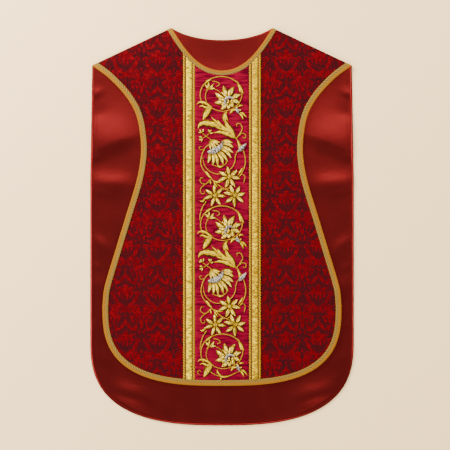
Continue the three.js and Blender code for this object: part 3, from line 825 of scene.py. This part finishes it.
for side, word in ((-1, "left"), (1, "right")):
    inner = ORPHREY_HALF_WIDTH - BRAID_WIDTH
    strip_xs = np.sort(side * (inner + np.linspace(0, BRAID_WIDTH, STRIP_COLUMNS)))
    strip_plan = column_grid(strip_xs, STRIP_ROWS)
    strip = make_piece(
        f"orphrey_braid_strip_{word}",
        [(on_front(strip_plan, STRIP_RISE), on_front(strip_plan, 0))],
        BRAID_GROUND,
    )
    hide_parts(f"orphrey_braid_{word}")
    middle = side * (inner + PADDED_MIDDLE)
    band, band_thread = raised_column(middle, PADDED_WIDTH, PADDED_RISE, PADDED_ROWS, PADDED_COLUMNS)
    padding = make_piece(f"padded_band_{word}", [band], PADDED_GOLD[word], [band_thread])
    middles = [side * (inner + off) for off in (CORD_WIDTH / 2, BRAID_WIDTH - CORD_WIDTH / 2)]
    cords, threads = zip(
        *(raised_column(x, CORD_WIDTH, CORD_RISE, CORD_ROWS, CORD_COLUMNS, twist=0.35) for x in middles)
    )
    cord = make_piece(f"braid_cords_{word}", cords, CORD_GOLD, threads)

# Embroidery. A common floral scroll worked by hand in couched gold and silver thread over padding:
# coils of stem with leaves, open flowers, a fan-shaped flower and stars, repeated down the silk.
# Places are in millimetres from the middle of each repeat's first coil, drawn one by one.
MM = 0.001
FULL_REPEATS = [(-1, 352), (0, 9)]
LAST_REPEAT = (1, -331)
COIL_WIDTH, COIL_HEIGHT = 53, 45
THREAD_STEP, LEAF_STEP, PETAL_STEP = 1.6, 1.0, 1.2
PADDING_SUNK = 0.0003
# The laid gold's brown is painted shade at outlines, roots and veins and in dull streaks.
COUCHED_GOLD, LAID_SHADE_BROWN = (0.50, 0.275, 0.012), (0.030, 0.012, 0.004)
# The couched gold's brown is painted shade in the folds of its plies and at its sides.
COUCHED_SHADE_BROWN = (0.050, 0.020, 0.006)
# The silver's dark hollow colour is painted shade between its grains.
SILVER, SILVER_HOLLOW_SHADE = (0.46, 0.42, 0.38, 1), (0.055, 0.045, 0.045, 1)
Stem = namedtuple("Stem", "width points")
Leaf = namedtuple("Leaf", "width points teeth", defaults=[0])
Fan = namedtuple("Fan", "centre first last petals inner outer swell width bend", defaults=[0])

COIL_STEMS = [
    Stem(2.6, [(-24, 34), (-10, 31), (-6, 24), (-14, 20)]),
    Stem(2.3, [(-41, 9), (-33, 16), (-24, 22)]),
    Stem(2.1, [(-36, 12), (-22, 14), (-8, 8), (0, -2)]),
    Stem(2.1, [(36, 36), (44, 30), (46, 22)]),
]
COIL_LEAVES = [
    Leaf(8, [(-46, 26), (-36, 35), (-24, 42)]),
    Leaf(11, [(-24, -38), (-42, -25), (-58, -22), (-66, -28)], 5),
    Leaf(8, [(-26, -32), (-40, -36), (-52, -32), (-60, -34)]),
    Leaf(21, [(-27, -35), (-37, -46), (-49, -68)]),
    Leaf(11, [(43, 28), (49, 17), (58, 1)]),
    Leaf(7, [(46, 20), (49, 10), (50, 3)]),
    Leaf(9, [(36, -40), (28, -44), (23, -52)]),
    Leaf(7, [(48, -48), (57, -52), (66, -62)]),
    Leaf(7, [(46, -50), (54, -58), (57, -68)]),
    Leaf(6, [(44, -34), (50, -30), (57, -32)]),
]
COIL_SILVER = [
    Leaf(7.5, [(33, -14), (22, -8), (12, -13), (9, -24), (13, -35)]),
    Leaf(9, [(38, -37), (42, -44), (46, -52)]),
]
COIL_FANS = [
    Fan((18, -18), -52, 268, 9, 8, 17, 25, 16, 2),
    Fan((19, -19), -34, 250, 8, 8, 12, 19, 11, -1),
    Fan((22, -23), -80, 190, 5, 1, 9, 2, 7),
    Fan((-34, 12), 130, 10, 4, 0, 15, 5, 8),
    Fan((42, -44), 170, 20, 3, 2, 10, 1, 7),
]
VINE_STEMS = [
    Stem(3.1, [(38, -116), (52, -138), (61, -161), (63, -183), (57, -203), (45, -222)]),
    Stem(3.1, [(-20, -127), (-41, -140), (-52, -161), (-55, -183), (-47, -203), (-30, -222)]),
    Stem(
        2.6,
        [(45, -146), (37, -163), (35, -181), (25, -198), (8, -208)]
        + [(-14, -212), (-34, -203), (-46, -187), (-50, -166)],
    ),
    Stem(2.3, [(14, -174), (11, -185), (-5, -193), (-27, -187)]),
    Stem(2.8, [(38, -119), (49, -105), (55, -91), (49, -79), (40, -80), (41, -88)]),
    Stem(2.3, [(46, -111), (55, -104), (64, -109), (62, -117), (55, -115)]),
    Stem(2.1, [(-51, -104), (-41, -112), (-31, -119), (-24, -126)]),
    Stem(2.1, [(-33, -105), (-38, -109), (-41, -112), (-49, -117)]),
    Stem(2.1, [(-47, -147), (-56, -148), (-59, -141), (-52, -139)]),
    Stem(2.4, [(-30, -226), (-40, -237), (-51, -238), (-57, -230), (-54, -222), (-47, -223)]),
    Stem(2.4, [(-34, -234), (-48, -243), (-56, -253), (-54, -263), (-46, -264), (-46, -257)]),
    Stem(3.0, [(-30, -222), (-14, -237), (9, -252), (22, -247), (33, -235)]),
    Stem(2.4, [(9, -252), (-4, -256), (-16, -266)]),
    Stem(2.4, [(9, -252), (22, -258), (32, -266)]),
    Stem(2.3, [(45, -221), (54, -213), (62, -220), (58, -237)]),
    Stem(2.8, [(-40, -284), (-50, -299), (-56, -317), (-58, -336)]),
]
VINE_LEAVES = [
    Leaf(24, [(-2, -88), (-24, -80), (-45, -77), (-57, -81), (-63, -92)], 4),
    Leaf(12, [(38, -119), (22, -101), (3, -88), (-16, -72), (-28, -60)]),
    Leaf(9, [(8, -90), (-4, -80), (-12, -68)]),
    Leaf(8, [(20, -100), (4, -94), (-17, -88)]),
    Leaf(16, [(34, -117), (14, -106), (-4, -101), (-21, -103)], 3),
    Leaf(19, [(36, -117), (24, -98), (15, -84), (8, -66)]),
    Leaf(13, [(7, -72), (7, -62), (9, -54), (15, -46)]),
    Leaf(9, [(9, -48), (8, -58), (4, -72)]),
    Leaf(9, [(9, -48), (11, -58), (17, -72)]),
    Leaf(11, [(9, -50), (9, -60), (10, -74)]),
    Leaf(8, [(42, -124), (47, -136), (45, -150)]),
    Leaf(9, [(-42, -204), (-36, -214), (-27, -224)]),
    Leaf(7, [(-24, -228), (-14, -233), (2, -233)]),
    Leaf(7, [(-20, -232), (-17, -240), (-11, -248)]),
    Leaf(6, [(-31, -226), (-30, -233), (-28, -240)]),
    Leaf(7, [(-44, -275), (-50, -285), (-58, -283)]),
    Leaf(7, [(56, -196), (50, -206), (43, -216)]),
    Leaf(8, [(-12, -190), (-4, -193), (5, -191)]),
]
VINE_SILVER = [
    Leaf(11, [(44, -153), (53, -144), (66, -131)]),
    Leaf(15, [(-38, -154), (-17, -150), (-3, -140), (4, -124)]),
]
VINE_FANS = [
    Fan((-30, -125), -96, -4, 9, 28, 56, 17, 13, 4),
    Fan((-30, -120), -88, -18, 5, 2, 27, 2, 10),
    Fan((-51, -103), 175, 80, 3, 0, 10, 1, 6),
    Fan((-32, -104), 110, 10, 3, 0, 10, 1, 6),
    Fan((-50, -117), 250, 160, 3, 0, 10, 1, 6),
]
STARS = [
    Fan((20, -220), 101, 401, 7, 3, 27, 4, 13.5),
    Fan((-18, -269), 96, 405, 7, 3, 27, 3, 12.5),
    Fan((35, -269), 62, 373, 7, 3, 27, 4, 13),
]
SPRIG_STEMS = [
    Stem(2.6, [(-34, -52), (-18, -62), (4, -67), (25, -62), (41, -54)]),
    Stem(2.1, [(41, -54), (50, -53), (53, -60)]),
    Stem(1.9, [(-56, -54), (-62, -50), (-66, -56), (-60, -62)]),
]
SPRIG_LEAVES = [
    Leaf(7, [(-14, -48), (-11, -57), (-2, -65)]),
    Leaf(7, [(-10, -64), (4, -67), (22, -64)]),
    Leaf(6, [(-2, -66), (-4, -72), (-2, -77)]),
]


def smooth_run(points, spacing=THREAD_STEP):
    """Evenly spaced points on a smooth curve through a few hand-set ones."""
    p = np.array(points, float)
    ends = np.vstack([2 * p[0] - p[1], p, 2 * p[-1] - p[-2]])
    t = np.linspace(0, 1, 16, endpoint=False)[:, None]
    pieces = [
        0.5 * (2 * b + (c - a) * t + (2 * a - 5 * b + 4 * c - d) * t**2 + (3 * b - a - 3 * c + d) * t**3)
        for a, b, c, d in zip(ends, ends[1:], ends[2:], ends[3:])
    ]
    return even_run(np.vstack([*pieces, p[-1:]]), spacing)


def worked(run, half_width, rise, lift, origin, columns, along):
    """Closed shell of stitches over padding along a run, and its thread's coordinates."""
    ways = unit_ways(run)
    square = np.stack([ways[:, 1], -ways[:, 0]], -1)
    across = np.linspace(-1, 1, columns)
    plan = run[:, None] + square[:, None] * (half_width[:, None] * across)[..., None]
    plan = (plan + origin) * MM
    dome = np.clip(1 - np.abs(across) ** 2.4, 0, 1) ** 0.6
    top = on_front(plan, SILK_THICKNESS + (lift + rise[:, None] * dome) * MM)
    under = on_front(plan, SILK_THICKNESS - PADDING_SUNK)
    thread = np.stack(np.broadcast_arrays(along[:, None], across), -1)
    return (top, under), thread


def stem(row, origin):
    """A couched stem, tapered at both ends."""
    run = smooth_run(row.points)
    share = np.linspace(0, 1, len(run))
    taper = np.clip(np.minimum(share / 0.06, (1 - share) / 0.12), 0.25, 1) ** 0.6
    return worked(run, taper * row.width / 2, 1.5 * taper, 0.1, origin, 7, along_run(run) / 10)


def coil(origin):
    """The coil's stem: nearly round, wound a little more than once and inwards at its end."""
    turn = np.linspace(0, 1, 200)
    angle = np.radians(214 - 423 * turn)
    reach = 1.02 + 0.10 * np.exp(-9 * turn) - 0.32 * np.clip((turn - 0.7) / 0.3, 0, 1) ** 1.3
    run = np.stack([COIL_WIDTH * reach * np.cos(angle), COIL_HEIGHT * reach * np.sin(angle)], -1)
    run = even_run(run, THREAD_STEP)
    share = np.linspace(0, 1, len(run))
    taper = np.clip(1.15 - 0.5 * share, 0.4, 1)
    return worked(run, taper * 1.58, 1.6 * taper, 0.1, origin, 7, along_run(run) / 10)


def leaf(row, origin, lift=0.2):
    """A padded leaf along its midrib, toothed where its row says so."""
    run = smooth_run(row.points, LEAF_STEP)
    share = np.linspace(0, 1, len(run))
    outline = np.sin(math.pi * share**0.8) ** 0.8
    if row.teeth:
        outline = outline * (0.66 + 0.34 * (1 - (share * row.teeth) % 1))
    half_width = np.maximum(outline * row.width / 2, 0.25)
    return worked(run, half_width, 0.5 + 1.5 * outline, lift, origin, 9, share)


def fan(row, origin, lift):
    """Petals round a centre, in turn from the first angle to the last."""
    made = []
    angles = np.radians(np.linspace(row.first, row.last, row.petals))
    for i, angle in enumerate(angles):
        swell = math.sin(math.pi * (i + 0.5) / row.petals)
        way = np.array([math.cos(angle), math.sin(angle)])
        side = np.array([-way[1], way[0]]) * (row.bend + (1.0 if i % 2 else -0.8))
        root, tip = way * row.inner, way * (row.outer + row.swell * swell)
        run = smooth_run([root, (root + tip) / 2 + side, tip], PETAL_STEP) + row.centre
        share = np.linspace(0, 1, len(run))
        outline = np.sin(math.pi * share**1.05) ** 0.85
        half_width = np.maximum(outline * row.width / 2, 0.25)
        rise = 0.4 + 1.6 * outline
        made.append(worked(run, half_width, rise, lift + 0.25 * (i % 2), origin, 7, share))
    return made


def bead(centre, size, lift, origin):
    """A small round bead, as a short run of wide stitches."""
    share = np.linspace(-1, 1, 7)
    run = np.stack([0 * share, size * share], -1) + centre
    half = np.sqrt(np.clip(1 - share**2, 0.02, 1)) * size
    return worked(run, half, half * 0.9, lift, origin, 7, (share + 1) / 2)


def beads(centre, ring, size, lift, origin):
    """A bead with a ring of six round it."""
    turns = np.radians(np.arange(6) * 60 + 20)
    places = ring * np.stack([np.cos(turns), np.sin(turns)], -1)
    return [bead(place + centre, size, lift, origin) for place in [np.zeros(2), *places]]


def couched_gold(name):
    """Couched gold cord: two plies that twist, with painted shade in the folds between them and at its
    sides.
    """
    dye, deep, bright = gold(name, COUCHED_GOLD, COUCHED_SHADE_BROWN)
    along, across = dye.thread()
    ply = dye.math("SINE", along * 34 + across * 2.4)
    # The mask is 1 on the lit gold and 0 in painted shade, where the plies fold and at the cord's sides.
    shade = dye.rise(ply, -1.0, 0.4) * dye.rise(1 - abs(across), 0.02, 0.4)
    dye.finish("Base Color", dye.mix(shade, deep, bright))
    dye.finish("Metallic", shade * 0.3)
    dye.emboss(ply, 0.4, 0.0005)
    return dye.material


def laid_gold(name, colour, pale, vein):
    """Gold laid side by side over padding, in streaks along the piece. Its colour holds painted light:
    painted shade at the outline, the root, down the vein and in dull streaks, and pale painted
    highlights on one side, in bright streaks and on the vein's crest."""
    dye, deep, bright = gold(name, colour, LAID_SHADE_BROWN, roughness=0.36)
    along, across = dye.thread()
    point = dye.add("ShaderNodeTexCoord", output=3)
    drift = dye.add("ShaderNodeSeparateXYZ", None, {0: point}) * 300
    lanes = dye.add("ShaderNodeCombineXYZ", None, {0: along * 1.6, 1: across * 3.4, 2: drift})
    streak = dye.add("ShaderNodeTexNoise", None, {"Vector": lanes, "Scale": 1.0, "Detail": 2.0})
    stitch = dye.math("SINE", along * 150 + abs(across) * 5)
    # Painted shade: the outline, the root, the vein's line and the dull streaks darken to brown.
    outline = dye.rise(abs(across), 0.46, 0.66)
    root = dye.rise(0.46 - along - abs(across) * 0.9, 0, 0.22) * 0.9
    # Painted highlight: the lit side and the bright streaks turn pale.
    lit = dye.rise(streak + across * 0.12 - abs(across) * 0.16, 0.46, 0.56)
    lit = lit * dye.rise(along, 0.15, 0.5)
    dull_shade = dye.rise(0.47 - streak, 0, 0.08) * 0.75
    short = dye.rise(0.9 - along, 0, 0.2)
    line = dye.rise(vein * 2 - abs(across), 0, 0.08) * short
    # Painted highlight along the vein's crest.
    ridge = dye.rise(vein - abs(across), 0, 0.08) * short
    shade = dye.either(root, line * 0.9, dull_shade, outline * 0.97) * (1 - ridge)
    face = dye.mix(dye.either(lit, ridge), bright, (*pale, 1))
    dye.finish("Base Color", dye.mix(shade, face, deep))
    dye.finish("Metallic", 0.32 - shade * 0.3)
    dye.finish("Roughness", 0.40 + shade * 0.3 - lit * 0.08)
    dye.emboss(stitch * 0.4 + streak * 2 - line * 1.5, 0.5, 0.0006)
    return dye.material


def silver_mesh(name):
    """Silver purl cut short and laid as a mesh of small grains, with painted shade in the hollows between
    them.
    """
    dye = Dye(name, metallic=0.5, roughness=0.42)
    point = dye.add("ShaderNodeTexCoord", output=3)
    grains = dye.add("ShaderNodeTexVoronoi", None, {"Vector": point, "Scale": 330.0})
    # Painted shade: the hollows between the grains are dark.
    hollow = dye.rise(grains, 0.30, 0.60)
    dye.finish("Base Color", dye.mix(hollow, SILVER, SILVER_HOLLOW_SHADE))
    dye.emboss(1 - hollow, 0.8, 0.0008)
    return dye.material


vine, leaves, flowers, centres = [], [], [], []
for origin in (*FULL_REPEATS, LAST_REPEAT):
    last = origin == LAST_REPEAT
    stems = COIL_STEMS + (SPRIG_STEMS if last else VINE_STEMS)
    vine += [coil(origin)] + [stem(row, origin) for row in stems]
    leaves += [leaf(row, origin) for row in COIL_LEAVES + (SPRIG_LEAVES if last else VINE_LEAVES)]
    centres += [leaf(row, origin, 2.0) for row in COIL_SILVER + ([] if last else VINE_SILVER)]
    for i, row in enumerate(COIL_FANS + ([] if last else VINE_FANS + STARS)):
        # The first three rings make the open flower, and each lies over the one before it.
        flowers += fan(row, origin, 0.4 + 0.7 * i if i < 3 else 0.5)
    for star in [] if last else STARS:
        flowers += beads(star.centre, ring=3.4, size=1.9, lift=1.4, origin=origin)
COUCHED = couched_gold("couched_gold")
# pale is the colour of the painted highlights on the leaves and petals.
LEAF_GOLD = laid_gold("leaf_gold", colour=(0.46, 0.290, 0.001), pale=(1.0, 0.74, 0.006), vein=0.12)
PETAL_GOLD = laid_gold("petal_gold", colour=(0.43, 0.262, 0.005), pale=(1.0, 0.78, 0.120), vein=0.0)
for name, worked_pieces, material in (
    ("embroidered_vine", vine, COUCHED),
    ("embroidered_leaves", leaves, LEAF_GOLD),
    ("embroidered_flowers", flowers, PETAL_GOLD),
    ("embroidered_centres", centres, silver_mesh("silver_purl")),
):
    shells, threads = zip(*worked_pieces)
    make_piece(name, shells, material, threads)

# Camera and floor. The camera looks straight down through a long lens. The floor is plain and pale,
# and lies a hair below the cloth.
PICTURE_WIDTH, CAMERA_HEIGHT, SENSOR = 1.1957, 4.2, 36.0
VIEW_CENTRE = (0.0080, 0.0046)
camera_data = bpy.data.cameras.new("camera")
camera_data.sensor_width = SENSOR
camera_data.lens = SENSOR * CAMERA_HEIGHT / PICTURE_WIDTH
camera = bpy.data.objects.new("camera", camera_data)
camera.location = (*VIEW_CENTRE, CAMERA_HEIGHT)
bpy.context.scene.collection.objects.link(camera)
bpy.context.scene.camera = camera

FLOOR_HALF, FLOOR_GAP, FLOOR_COLOUR = 6.0, 0.0002, (0.96, 0.70, 0.42, 1)
floor_mesh = bpy.data.meshes.new("floor")
corners = [(FLOOR_HALF * x, FLOOR_HALF * y, 0) for x, y in ((-1, -1), (1, -1), (1, 1), (-1, 1))]
floor_mesh.from_pydata(corners, [], [(0, 1, 2, 3)])
floor_dye = Dye("floor", roughness=1.0, Base_Color=FLOOR_COLOUR, Specular_IOR_Level=0.1)
floor_mesh.materials.append(floor_dye.material)
floor = bpy.data.objects.new("floor", floor_mesh)
floor.location.z = -FLOOR_GAP
bpy.context.scene.collection.objects.link(floor)

# Lights. A soft key stands at the upper left, 22 degrees high, and its shadow falls to the right and
# down. A long softbox high over the neck end is what the satin's folds catch. Weak fills at both sides
# and at the hem end, and a dim surround, lift the rest.
LAMP_COLOUR, SURROUND_COLOUR, SURROUND_STRENGTH = (1, 0.94, 0.78), (1, 0.93, 0.84, 1), 0.38


def softbox(name, place, size, glow):
    """An area light of a size and a brightness, aimed at the middle of the garment."""
    light = bpy.data.lights.new(name, "AREA")
    light.shape = "RECTANGLE"
    light.size, light.size_y = size
    light.energy = glow * math.pi * size[0] * size[1]
    light.color = LAMP_COLOUR
    lamp = bpy.data.objects.new(name, light)
    lamp.location = place
    aim = np.array(place) / np.linalg.norm(place)
    lamp.rotation_euler = (math.acos(aim[2]), 0, math.atan2(aim[0], -aim[1]))
    bpy.context.scene.collection.objects.link(lamp)


softbox("key", (-1.8, 2.5, 1.25), (2.0, 1.0), 66)
softbox("neck_end", (0, 1.5, 3.1), (3.0, 1.2), 4.2)
softbox("left", (-3.0, -0.6, 0.9), (2.6, 0.9), 24)
softbox("right", (2.9, 0.4, 1.8), (2.4, 1.2), 12)
softbox("hem_end", (0, -3.0, 1.8), (2.6, 1.0), 12)
surround = bpy.data.worlds.new("surround")
surround.use_nodes = True
background = surround.node_tree.nodes["Background"]
background.inputs["Color"].default_value = SURROUND_COLOUR
background.inputs["Strength"].default_value = SURROUND_STRENGTH
bpy.context.scene.world = surround
